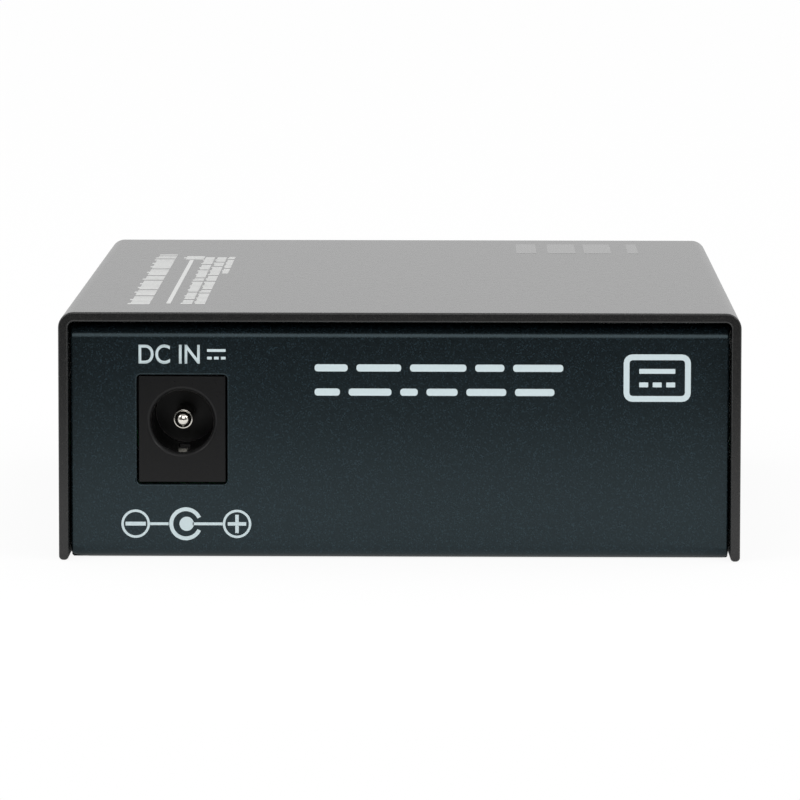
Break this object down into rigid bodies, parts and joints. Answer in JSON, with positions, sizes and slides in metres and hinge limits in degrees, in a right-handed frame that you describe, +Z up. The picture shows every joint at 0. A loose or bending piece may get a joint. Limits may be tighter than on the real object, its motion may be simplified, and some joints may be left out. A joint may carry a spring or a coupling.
{
  "type": "fibre media converter",
  "caption": "Small sheet-metal case that joins a copper network cable to optical fibre, with a DC power inlet at one end and the ports at the other.",
  "frame": {"origin": "under the middle of the case, on the surface that it stands on", "axes": "+Y from the power end towards the port end, +Z up, +X to the right when the power end is looked at"},
  "size_m": [0.07, 0.094, 0.0256],
  "materials": {
    "cover_paint": "semi-gloss dark grey powder coat on folded steel",
    "chassis_paint": "dark blue-green powder coat with a fine metallic sparkle",
    "black_screw": "black-plated steel",
    "plated_steel": "zinc-plated steel",
    "clear_film": "thin clear polyester film",
    "board_laminate": "green solder mask on glass laminate",
    "black_moulding": "black glass-filled moulding",
    "bright_nickel": "bright nickel plate on brass",
    "tinned_contact": "tin-plated strip",
    "tinned_shield": "tin-plated folded sheet",
    "gold_contact": "gold-plated spring wire",
    "optic_moulding": "black moulding",
    "switch_moulding": "blue moulding",
    "lever_moulding": "white moulding",
    "clear_guide": "clear acrylic moulding",
    "lamp_resin": "yellow-white resin",
    "ferrite": "sintered ferrite",
    "yellow_tape": "yellow polyester tape over wire",
    "capacitor_can": "drawn can",
    "orange_moulding": "orange moulding",
    "white_ceramic": "fired ceramic",
    "chip_moulding": "dark moulded chip body",
    "clip_moulding": "natural moulding"
  },
  "bodies": {
    "case": {"base_chassis": "chassis_paint", "board_screws": "plated_steel", "board_standoffs": "plated_steel", "clock_crystal": "capacitor_can", "converter_chip": "chip_moulding", "cover_screws": "black_screw", "diode_pads": "tinned_contact", "fuse_caps": "tinned_contact", "indicator_lamps": "lamp_resin", "input_capacitor": "capacitor_can", "input_capacitor_foot": "black_moulding", "input_fuse": "white_ceramic", "insulation_film": "clear_film", "light_guide": "clear_guide", "line_isolator": "chip_moulding", "line_isolator_legs": "tinned_contact", "main_board": "board_laminate", "network_port_body": "black_moulding", "network_port_shield": "tinned_shield", "network_port_wires": "gold_contact", "optic_body": "optic_moulding", "optic_pins": "tinned_contact", "output_capacitor": "orange_moulding", "power_controller": "chip_moulding", "power_controller_legs": "tinned_contact", "power_inductor": "ferrite", "power_jack_body": "black_moulding", "power_jack_pin": "bright_nickel", "power_jack_spring": "tinned_contact", "power_jack_strap": "tinned_contact", "power_jack_switch_contact": "tinned_contact", "receive_barrel": "bright_nickel", "receive_clip": "clip_moulding", "rectifier_diodes": "chip_moulding", "small_chips": "white_ceramic", "switch_base": "black_moulding", "switch_case": "switch_moulding", "switch_legs": "tinned_contact", "top_cover": "cover_paint", "transformer_core_back": "ferrite", "transformer_core_front": "ferrite", "transformer_former": "black_moulding", "transformer_winding": "yellow_tape", "transmit_barrel": "bright_nickel", "transmit_clip": "clip_moulding"},
    "switch_lever_1": {"switch_lever_1": "lever_moulding"},
    "switch_lever_2": {"switch_lever_2": "lever_moulding"},
    "switch_lever_3": {"switch_lever_3": "lever_moulding"},
    "switch_lever_4": {"switch_lever_4": "lever_moulding"}
  },
  "joints": [
    {"name": "switch_lever_1_slide", "type": "slide", "parent": "case", "child": "switch_lever_1", "axis": [0, 0, 1], "range_m": [0, 0.0014]},
    {"name": "switch_lever_2_slide", "type": "slide", "parent": "case", "child": "switch_lever_2", "axis": [0, 0, 1], "range_m": [0, 0.0014]},
    {"name": "switch_lever_3_slide", "type": "slide", "parent": "case", "child": "switch_lever_3", "axis": [0, 0, 1], "range_m": [0, 0.0014]},
    {"name": "switch_lever_4_slide", "type": "slide", "parent": "case", "child": "switch_lever_4", "axis": [0, 0, 1], "range_m": [0, 0.0014]}
  ]
}
